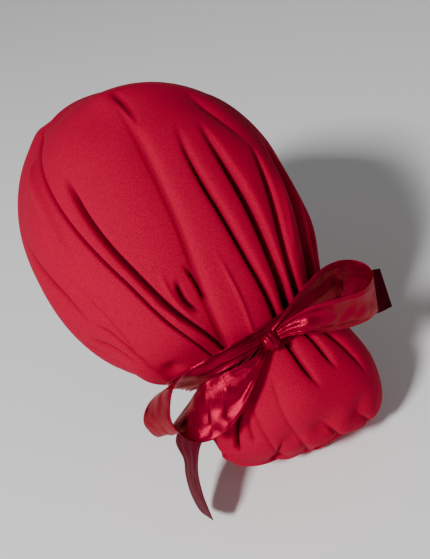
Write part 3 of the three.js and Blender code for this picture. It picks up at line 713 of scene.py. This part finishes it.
def bag_piece(name, outer, inner, outer_pole, inner_pole, shade):
    """A closed bag: outer and inner grids that each end in a pole, joined round the mouth."""
    columns, rows = outer.shape[:2]
    size = 2 * rows
    count = columns * size
    points = np.concatenate([outer[:, ::-1], inner], axis=1).reshape(-1, 3)
    points = np.concatenate([points, [outer_pole, inner_pole]])
    quads = quads_between(columns, size, True, False)[:, ::-1]
    outer_fan = fan(columns, size, 0, count, turned=True)
    inner_fan = fan(columns, size, size - 1, count + 1, turned=False)
    # The painted shade darkens the outer face only
    shade = np.concatenate([shade[:, ::-1], shade * 0], axis=1).ravel()
    shade = np.append(shade, [0.0, 0.0])
    return make_piece(name, points, quads, np.concatenate([outer_fan, inner_fan]), shade)


# The painted shade fades out over the dome
dome_fade = np.linspace(1, 0, POUCH_END_ROWS + 2)[1:-1]
shade = np.concatenate([shade, shade[:, -1:] * dome_fade], axis=1)
pouch = bag_piece("bun_pouch_cloth", outer, inner, outer_pole, inner_pole, shade)

# %% [markdown]
# ## Ribbon round the waist
# The tie is satin ribbon about 38 mm wide, pulled tight so that it bunches to a band about
# 22 mm wide with six long pleats in it. A curve with a flat profile could make a ring, but it
# would lie level. This grid follows the crown's slope on one side of the waist and the pouch's on
# the other, and its pleats wander round it.

# %% Ribbon round the waist
TIE_COLUMNS, TIE_ROWS = 360, 48
TIE_HALF_WIDTH, TIE_LIFT, RIBBON_WALL = 11.0, 0.9, 0.5  # mm
TIE_PLEATS, TIE_PLEAT_HEIGHT = 6, 1.5  # across the tie, and mm
MOST_OF_CROWN, MOST_OF_POUCH = 0.45, 0.3  # shares of their length that the tie may cover
SLOPE_BLEND, FLAT_EDGE = 0.35, 0.15  # shares of half the tie's width
CALM_ANGLE, CALM_SHARE = 60, 0.25  # within this angle of the knot, pleats sink to this share

tie_angle = np.linspace(0, 360, TIE_COLUMNS, endpoint=False)[:, None]
across = np.linspace(-1, 1, TIE_ROWS)[None, :]
tie_angle, across = np.broadcast_arrays(tie_angle, across)
tie_points, tie_outward = [], []
for loops, start, sign in ((CROWN_LOOPS, 1.0, -1), (POUCH_LOOPS, 0.0, 1)):
    _, _, mm_along = cloth_frame(loops, tie_angle, np.full(tie_angle.shape, start))
    reach = np.maximum(across * sign, 0) * sign * TIE_HALF_WIDTH / mm_along
    reach = np.clip(reach, -MOST_OF_CROWN, MOST_OF_POUCH)
    tie_points.append(cloth_point(loops, tie_angle, start + reach))
    tie_outward.append(cloth_frame(loops, tie_angle, start + reach)[0])
on_crown = (across <= 0)[..., None]
base = np.where(on_crown, *tie_points)
blend = eased((across + SLOPE_BLEND) / (2 * SLOPE_BLEND))[..., None]
crown_waist = cloth_frame(CROWN_LOOPS, tie_angle, np.ones(tie_angle.shape))[0]
pouch_waist = cloth_frame(POUCH_LOOPS, tie_angle, np.zeros(tie_angle.shape))[0]
crown_side = np.where(on_crown, tie_outward[0], crown_waist)
pouch_side = np.where(on_crown, pouch_waist, tie_outward[1])
tie_normal = unit(crown_side * (1 - blend) + pouch_side * blend)
away = np.clip(abs((tie_angle - 90 + 180) % 360 - 180) / CALM_ANGLE, CALM_SHARE, 1)
# The pleats wander in two waves, three and seven to a turn
wander = 0.6 * np.sin(np.radians(tie_angle * 3)) + 0.4 * np.sin(np.radians(tie_angle * 7 + 40))
pleat = 0.5 + 0.5 * np.sin(np.pi * TIE_PLEATS * across + wander)
edge = eased((1 - abs(across)) / FLAT_EDGE)
tie_height = TIE_LIFT + TIE_PLEAT_HEIGHT * pleat * away * edge
tie_inner = base + tie_normal * tie_height[..., None]
tie_outer = tie_inner + tie_normal * RIBBON_WALL
tie = wall_piece("ribbon_tie_satin", tie_outer, tie_inner, ring=True)

# %% [markdown]
# ## Bow
# The bow is tied in the same ribbon. Each loop and tail could be a flat curve, but ribbon twists
# and narrows as it bends, so each is a strip between two selvedges, read from the photo as pixels
# with a depth towards the camera. Near the knot the ribbon is squeezed, and its spare width goes
# into pleats.

# %% Bow
KNOT_DEPTH = 70.1  # mm that the knot lies nearer to the camera than the camera's target
RIBBON_WIDTH = 38.0
# Stations: near edge (x, y, depth), then far edge (x, y, depth), in pixels, pixels and mm
LEFT_LOOP = [
    (262, 338, 10, 263, 345, 8), (245, 345, 16, 246, 357, 12), (222, 355, 22, 222, 372, 11),
    (198, 366, 24, 197, 386, -6), (181, 377, 20, 166, 390, -15), (173, 389, 18, 151, 401, -15),
    (170, 405, 15, 144, 416, -17), (171, 420, 14, 147, 428, -18), (178, 432, 14, 162, 436, -21),
    (191, 441, 14, 186, 407, -13), (208, 441, 10, 201, 386, 9), (225, 432, 12, 222, 374, 13),
    (240, 415, 14, 238, 367, 14), (251, 392, 15, 250, 360, 13), (260, 370, 13, 259, 354, 11),
    (267, 352, 10, 263, 347, 8),
]
RIGHT_LOOP = [
    (271, 330, 9, 275, 336, 7), (281, 317, 9, 288, 325, 5), (298, 294, 6, 308, 312, -4),
    (318, 272, 4, 325, 304, -12), (335, 262, -1, 342, 299, -27), (350, 260, -4, 358, 298, -33),
    (363, 263, -3, 371, 302, -31), (371, 270, 2, 378, 308, -27), (372, 279, 8, 375, 314, -20),
    (363, 290, 15, 366, 321, -13), (342, 297, 21, 350, 327, -8), (322, 303, 22, 331, 331, 2),
    (302, 311, 18, 311, 333, 12), (287, 321, 13, 291, 335, 11), (275, 331, 9, 276, 341, 8),
]
LEFT_TAIL = [
    (263, 345, 6, 256, 341, 8), (252, 366, 9, 240, 352, 12), (236, 398, 7, 214, 386, 2),
    (215, 425, -2, 186, 420, -15), (202, 442, -12, 176, 440, -30), (198, 458, -14, 184, 459, -44),
    (198, 474, -15, 186, 475, -46), (202, 492, -16, 191, 493, -46), (207, 506, -17, 200, 510, -46),
    (213, 520, -24, 210, 518, -34),
]
RIGHT_TAIL = [
    (284, 322, 4, 286, 330, 3), (304, 306, -5, 306, 322, -4), (326, 290, -27, 330, 314, -18),
    (350, 280, -42, 356, 316, -34), (371, 271, -44, 377, 313, -40), (380, 269, -44, 392, 306, -42),
]

KNOT_SIDE, KNOT_DOWN, KNOT_OUT = 5.8, 7.0, 5.0  # half the knot's sizes in mm
KNOT_ANGLE, KNOT_LIFT, KNOT_MARGIN = 84.0, 9.8, 0.6  # degrees on the waist, mm, and mm
SEARCH_STEPS = 1200  # places that are tried to find where the ribbon leaves the knot
PLEAT_SLANT, PLEAT_EDGE = 6, 0.12  # how far pleats drift, and the flat share at each selvedge
FREE_FROM, FREE_RUN = 0.75, 0.45  # a free end is flat from here on, and opens over this share
SELVEDGE_EXTRA, SELVEDGE_WIDTH = 0.5, 0.8  # a share of the ribbon's thickness, and mm

waist_out = [
    cloth_frame(loops, np.array([90.0]), np.array([place]))[0][0]
    for loops, place in ((CROWN_LOOPS, 1.0), (POUCH_LOOPS, 0.0))
]
knot_out = unit(waist_out[0] + waist_out[1])
knot_side = np.array([1.0, 0.0, 0.0])
knot_up = unit(np.cross(knot_out, knot_side))
knot_centre = cloth_point(CROWN_LOOPS, KNOT_ANGLE, np.array(1.0)) + knot_out * KNOT_LIFT


def knot_distance(points):
    """1 on a surface just outside the knot's, less inside it."""
    rel = points - knot_centre
    axes = ((knot_side, KNOT_SIDE), (knot_up, KNOT_DOWN), (knot_out, KNOT_OUT))
    return np.sqrt(sum((rel @ axis / (half + KNOT_MARGIN)) ** 2 for axis, half in axes))


def between(near, far, t, share):
    """Points at t along a strip and a share of the way from its near to its far selvedge."""
    return smooth_rows(near, t) * (1 - share) + smooth_rows(far, t) * share


def ribbon_grid(stations, steps, rows, pleats, lean, pleat_height, free_end):
    """Points, normals and shares of the width of a strip from the knot's surface through its
    stations. Pleats are sine waves that take up the width that squeezing leaves over: their height
    is a wave's length over pi, times the root of the spare share. At a free end they open out."""
    table = np.array(stations, float)
    near = from_photo(table[:, 0], table[:, 1], table[:, 2] + KNOT_DEPTH)
    far = from_photo(table[:, 3], table[:, 4], table[:, 5] + KNOT_DEPTH)
    share = np.linspace(0, 1, rows)[None, :, None]
    fine = np.linspace(0, 1, SEARCH_STEPS)[:, None]
    inside = knot_distance(between(near, far, fine, share)) < 1
    half = len(fine) // 2
    first = np.where(inside[:half], fine[:half], 0.0).max(axis=0)
    last = np.where(inside[half:], fine[half:], 1.0).min(axis=0)
    t = np.linspace(0, 1, steps)[:, None] * (last - first) + first
    lay = between(near, far, t, share)
    share = np.broadcast_to(share[..., 0], t.shape)
    edges = smooth_rows(far, t) - smooth_rows(near, t)
    width = np.linalg.norm(edges, axis=-1)
    ahead, behind = np.clip(t + ALONG_STEP, 0, 1), np.clip(t - ALONG_STEP, 0, 1)
    forward = between(near, far, ahead, 0.5) - between(near, far, behind, 0.5)
    normal = -unit(np.cross(forward, edges))
    spare = np.sqrt(np.maximum(RIBBON_WIDTH / width - 1, 0))
    height = np.clip(width / (np.pi * pleats) * spare, 0, pleat_height)
    wave = np.sin(2 * np.pi * pleats * share + lean * t * PLEAT_SLANT)
    inset = eased(share / PLEAT_EDGE) * eased((1 - share) / PLEAT_EDGE)
    if free_end:
        inset = inset * eased((FREE_FROM - t) / FREE_RUN)
    return lay + normal * (height * wave * inset)[..., None], normal, share


def ribbon_piece(name, stations, steps, rows, pleats, lean, pleat_height=0.9, free_end=False):
    """One length of ribbon, thin in the middle with a slightly thicker woven selvedge."""
    point, normal, share = ribbon_grid(
        stations, steps, rows, pleats, lean, pleat_height, free_end
    )
    length = np.linalg.norm(np.diff(point[:, rows // 2], axis=0), axis=1).sum()
    print(f"{name}: {length:.0f} mm long")
    from_edge = np.minimum(share * RIBBON_WIDTH, RIBBON_WIDTH - share * RIBBON_WIDTH)
    thick = RIBBON_WALL / 2 * (1 + SELVEDGE_EXTRA * np.exp(-from_edge / SELVEDGE_WIDTH))
    outer = point + normal * thick[..., None]
    inner = point - normal * thick[..., None]
    return wall_piece(name, outer, inner, ring=False)


left_loop = ribbon_piece("bow_loop_left_satin", LEFT_LOOP, 260, 44, 1.5, 1.0)
right_loop = ribbon_piece("bow_loop_right_satin", RIGHT_LOOP, 240, 44, 1.5, 1.0)
left_tail = ribbon_piece("ribbon_tail_left_satin", LEFT_TAIL, 200, 48, 3.0, 0.5, 1.6, True)
right_tail = ribbon_piece("ribbon_tail_right_satin", RIGHT_TAIL, 140, 48, 3.0, 0.5, 2.0, True)

# %% [markdown]
# ## Knot
# The knot is one turn of the ribbon pulled tight over the gathered loops. It could be a strip
# wound round them, but it is only 14 mm long in the photo and shows as a small bundle. So it is
# a squashed ball whose rings bend and twist like the pleats of a wound ribbon.

# %% Knot
KNOT_COLUMNS, KNOT_ROWS = 120, 60
KNOT_RINGS, KNOT_RING_HEIGHT, KNOT_DENT_HEIGHT = 9, 0.08, 0.10  # heights as shares of its size
KNOT_SHRINK = 0.97

turn = np.linspace(0, 2 * np.pi, KNOT_COLUMNS, endpoint=False)[:, None]
pole = np.linspace(0, np.pi, KNOT_ROWS + 2)[None, 1:-1]
# The rings lean over by a third of a radian and bend by a fifth
twist = pole + 0.35 * np.sin(turn) + 0.2 * np.cos(2 * turn)
rings = KNOT_RING_HEIGHT * np.cos(KNOT_RINGS * twist)
ripple = 1 + (rings + KNOT_DENT_HEIGHT * np.cos(2 * turn + 2 * pole)) * np.sin(pole)
upward, outward = np.cos(turn)[..., None] * knot_up, np.sin(turn)[..., None] * knot_out
around = upward * KNOT_DOWN + outward * KNOT_OUT
shape = np.cos(pole)[..., None] * knot_side * KNOT_SIDE + around * np.sin(pole)[..., None]
shape = knot_centre + shape * ripple[..., None] * KNOT_SHRINK
tips = knot_centre + np.array([1.0, -1.0])[:, None] * knot_side * KNOT_SIDE * KNOT_SHRINK
count = KNOT_COLUMNS * KNOT_ROWS
first_tip = fan(KNOT_COLUMNS, KNOT_ROWS, 0, count, turned=False)
last_tip = fan(KNOT_COLUMNS, KNOT_ROWS, KNOT_ROWS - 1, count + 1, turned=True)
knot = make_piece(
    "bow_knot_satin",
    np.concatenate([shape.reshape(-1, 3), tips]),
    quads_between(KNOT_COLUMNS, KNOT_ROWS, True, False),
    np.concatenate([first_tip, last_tip]),
)

# %% [markdown]
# ## Materials
# Cotton poplin is matte: its fine weave scatters light, and short fibres on its surface give a
# faint glow at the edges. At the bottom of its creases the dye is darkened as painted shade.
# Satin ribbon has long threads that float side by side on its face, so it is glossy and every
# crumple flashes. Its woven back is dull, and its darker colour is painted shade, since the
# ribbon's two ends hang with their backs outwards and in shade. Scanned textures could be used,
# but noise and bump need no picture and stay sharp close up. Their grains are coarser than real
# threads, so that they show.


# %% Materials
def sheet_colour(code):
    """Linear colour from an sRGB hex code."""
    values = np.array([int(code[i : i + 2], 16) for i in (1, 3, 5)]) / 255
    linear = np.where(values <= 0.04045, values / 12.92, ((values + 0.055) / 1.055) ** 2.4)
    return (*linear, 1.0)


def add_node(tree, kind, links, **settings):
    """A shader node, with its own properties or its inputs set by name, and with the outputs in
    links joined to its inputs, by their name or number."""
    made = tree.nodes.new(kind)
    for key, value in settings.items():
        if hasattr(made, key):
            setattr(made, key, value)
        else:
            made.inputs[key.replace("_", " ")].default_value = value
    for key, output in links.items():
        tree.links.new(output, made.inputs[key])
    return made


def new_material(name, **settings):
    """A material, its node tree and its principled shader, with the shader's inputs set."""
    material = bpy.data.materials.new(name)
    material.use_nodes = True
    shader = material.node_tree.nodes["Principled BSDF"]
    for key, value in settings.items():
        shader.inputs[key.replace("_", " ")].default_value = value
    return material, material.node_tree, shader


COTTON_GRAINS = 1800.0  # a metre, so 0.56 mm each; poplin's threads are about 0.25 mm apart
COTTON_DYE = (0.3, "#8C0027"), (0.7, "#BE0036")  # the dye takes a little unevenly on the threads
# Painted shade: the near-black red that the slots are darkened to, and its share at full shade
PAINTED_SLOT_SHADE, PAINTED_SHADE_SHARE = "#240008", 0.95
MIX_A, MIX_B, MIX_RESULT = 6, 7, 2  # a mix node's colour sockets, which share their names

# Rough and without shine, so that only its folds shape the light
cotton, tree, shader = new_material(
    "crimson cotton poplin", Roughness=0.82, Specular_IOR_Level=0.04, Sheen_Weight=0.03,
    Sheen_Roughness=0.45, Sheen_Tint=sheet_colour("#FF9AAE"),
)
spot = add_node(tree, "ShaderNodeTexCoord", {}).outputs["Object"]
grain = add_node(
    tree, "ShaderNodeTexNoise", {"Vector": spot}, Scale=COTTON_GRAINS, Detail=3.0, Roughness=0.6
).outputs["Fac"]
dye = add_node(tree, "ShaderNodeValToRGB", {"Fac": grain})
for stop, (place, code) in zip(dye.color_ramp.elements, COTTON_DYE):
    stop.position, stop.color = place, sheet_colour(code)
# Painted shade: the painted fold shade attribute mixes the dye toward the slots' near-black red
fold = add_node(tree, "ShaderNodeAttribute", {}, attribute_name="painted_fold_shade")
painted_shade_amount = add_node(tree, "ShaderNodeMath", {0: fold.outputs["Fac"]}, operation="MULTIPLY")
painted_shade_amount.inputs[1].default_value = PAINTED_SHADE_SHARE
painted_shade_mix = add_node(
    tree, "ShaderNodeMix", {"Factor": painted_shade_amount.outputs["Value"], MIX_A: dye.outputs["Color"]},
    data_type="RGBA",
)
painted_shade_mix.inputs[MIX_B].default_value = sheet_colour(PAINTED_SLOT_SHADE)
relief = add_node(tree, "ShaderNodeBump", {"Height": grain}, Strength=0.15, Distance=0.0002)
tree.links.new(painted_shade_mix.outputs[MIX_RESULT], shader.inputs["Base Color"])
tree.links.new(relief.outputs["Normal"], shader.inputs["Normal"])

SATIN_THREADS = 1900.0  # a metre, so 0.53 mm each; real ones are about 0.1 mm apart
CRUMPLES = 60.0  # a metre, so 17 mm each, half the ribbon's width
CRUMPLE_SHIFT = (0.03, 0.05, 0.2)  # puts a crumple where the photo's left loop flashes
CRUMPLE_HEIGHT, THREAD_HEIGHT = 0.006, 0.0003  # in metres


def satin_ribbon(name, colour_code, metallic, roughness):
    """Satin ribbon with two bumps, one on the other: crumples, and the threads on them. Part of
    its shine is metallic, since light that runs along dyed threads takes their colour."""
    material, tree, shader = new_material(
        name, Base_Color=sheet_colour(colour_code), Metallic=metallic, Roughness=roughness,
        Specular_IOR_Level=0.15, Specular_Tint=sheet_colour("#FF7A96"), Anisotropic=0.3,
    )
    spot = add_node(tree, "ShaderNodeTexCoord", {}).outputs["Object"]
    shifted = add_node(tree, "ShaderNodeMapping", {"Vector": spot}, Location=CRUMPLE_SHIFT)
    crumple = add_node(
        tree, "ShaderNodeTexNoise", {"Vector": shifted.outputs["Vector"]},
        Scale=CRUMPLES, Detail=1.0, Roughness=0.4,
    )
    threads = add_node(
        tree, "ShaderNodeTexNoise", {"Vector": spot},
        Scale=SATIN_THREADS, Detail=2.0, Roughness=0.7,
    )
    folds = add_node(
        tree, "ShaderNodeBump", {"Height": crumple.outputs["Fac"]},
        Strength=1.0, Distance=CRUMPLE_HEIGHT,
    )
    relief = add_node(
        tree, "ShaderNodeBump",
        {"Height": threads.outputs["Fac"], "Normal": folds.outputs["Normal"]},
        Strength=0.6, Distance=THREAD_HEIGHT,
    )
    tree.links.new(relief.outputs["Normal"], shader.inputs["Normal"])
    return material


# The face is glossy and flashes. The back is dull, and its darker colour is painted shade
satin = satin_ribbon("crimson satin ribbon", "#860427", 0.55, 0.25)
satin_back_in_painted_shade = satin_ribbon("crimson satin ribbon, dull back in painted shade", "#54081C", 0.2, 0.6)
print("Materials:", cotton.name, "/", satin.name, "/", satin_back_in_painted_shade.name)

# %% [markdown]
# ## Pieces take their places
# Each fine piece stands in for the imported solid of the same name and moves with the cap.
# Apart from the knot, every piece is a sheet. The crown and the band are shaped cuts, and the
# left tail's end is cut at a slant. One table for all pieces makes a missing one easy to see.

# %% Pieces take their places
PIECES = [
    (crown, "crown", "cap_cloth", cotton),
    (band, "front_band", "cap_cloth", cotton),
    (pouch, "bun_pouch", "cap_cloth", cotton),
    (tie, "ribbon_tie", "satin_ribbon", satin),
    (knot, "bow_knot", "satin_ribbon", satin),
    (left_loop, "bow_loop_left", "satin_ribbon", satin),
    (right_loop, "bow_loop_right", "satin_ribbon", satin),
    # The tails wear the dull back, whose darker colour is painted shade
    (left_tail, "ribbon_tail_left", "satin_ribbon", satin_back_in_painted_shade),
    (right_tail, "ribbon_tail_right", "satin_ribbon", satin_back_in_painted_shade),
]
for piece, solid, finish, material in PIECES:
    piece.data.materials.append(material)
    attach(piece, "root")
    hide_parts(solid)

# %% [markdown]
# ## Studio
# A plain pale floor and two soft lights. The strong one comes from the camera's left, as in the
# photo, so that each pillow of cloth is light on its left and falls into shade on its right, and
# a faint one on the other side keeps the shade from going black. A picture of a room could light
# the cap too, but the satin would show it.

# %% Studio
FLOOR_GAP, FLOOR_HALF = 0.002, 6.0
SENSOR_WIDTH = 36.0

low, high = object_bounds()
z = low.z - FLOOR_GAP
corners = [(x * FLOOR_HALF, y * FLOOR_HALF, z) for x, y in ((-1, -1), (1, -1), (1, 1), (-1, 1))]
floor_mesh = bpy.data.meshes.new("floor")
floor_mesh.from_pydata(corners, [], [(0, 1, 2, 3)])
floor = bpy.data.objects.new("floor", floor_mesh)
bpy.context.scene.collection.objects.link(floor)
paper, _, _ = new_material("pale paper floor", Base_Color=sheet_colour("#FAFAFA"), Roughness=0.9)
floor_mesh.materials.append(paper)
floor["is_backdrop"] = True

world = bpy.data.worlds.new("studio")
world.use_nodes = True
background = world.node_tree.nodes["Background"]
background.inputs["Color"].default_value = sheet_colour("#F2F2F2")
background.inputs["Strength"].default_value = 0.2
bpy.context.scene.world = world

target = Vector(PHOTO_TARGET / 1000)


def soft_light(name, right, up, back, size, power):
    """A square soft light of a size in metres and a power in watts, turned to the cap and placed
    in metres along the photo's right, up and backward directions."""
    lamp = bpy.data.lights.new(name, "AREA")
    lamp.size, lamp.energy = size, power
    place = target + Vector(PHOTO_RIGHT * right + PHOTO_UP * up + PHOTO_BACK * back)
    lit = bpy.data.objects.new(name, lamp)
    lit.location = place
    lit.rotation_mode = "QUATERNION"
    lit.rotation_quaternion = (target - place).to_track_quat("-Z", "Y")
    bpy.context.scene.collection.objects.link(lit)


soft_light("key light", -1.25, 0.05, 2.16, 0.34, 76.0)
soft_light("fill light", 0.8, 0.3, 1.0, 1.2, 0.6)

camera_data = bpy.data.cameras.new("photo camera")
camera_data.sensor_width = SENSOR_WIDTH
camera_data.lens = SENSOR_WIDTH * PHOTO_DISTANCE / PHOTO_MM_PER_PIXEL / PHOTO_HEIGHT
camera_data.clip_start, camera_data.clip_end = 0.05, 50.0
camera = bpy.data.objects.new("photo camera", camera_data)
turned = Matrix((PHOTO_RIGHT, PHOTO_UP, PHOTO_BACK)).transposed().to_4x4()
eye = target + Vector(PHOTO_BACK * PHOTO_DISTANCE / 1000)
camera.matrix_world = Matrix.Translation(eye) @ turned
bpy.context.scene.collection.objects.link(camera)
bpy.context.scene.camera = camera
print("Camera:", round(camera_data.lens, 1), "mm lens at", [round(x, 3) for x in eye])

# %% [markdown]
# ## Size
# The cap's looks must stay the size of the imported part. That could be judged by eye, but the
# box of the looks is printed in metres, to the millimetre.

# %% Size
low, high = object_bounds()
print("Visual box in metres:", [round(x, 3) for x in (*low, *high)])
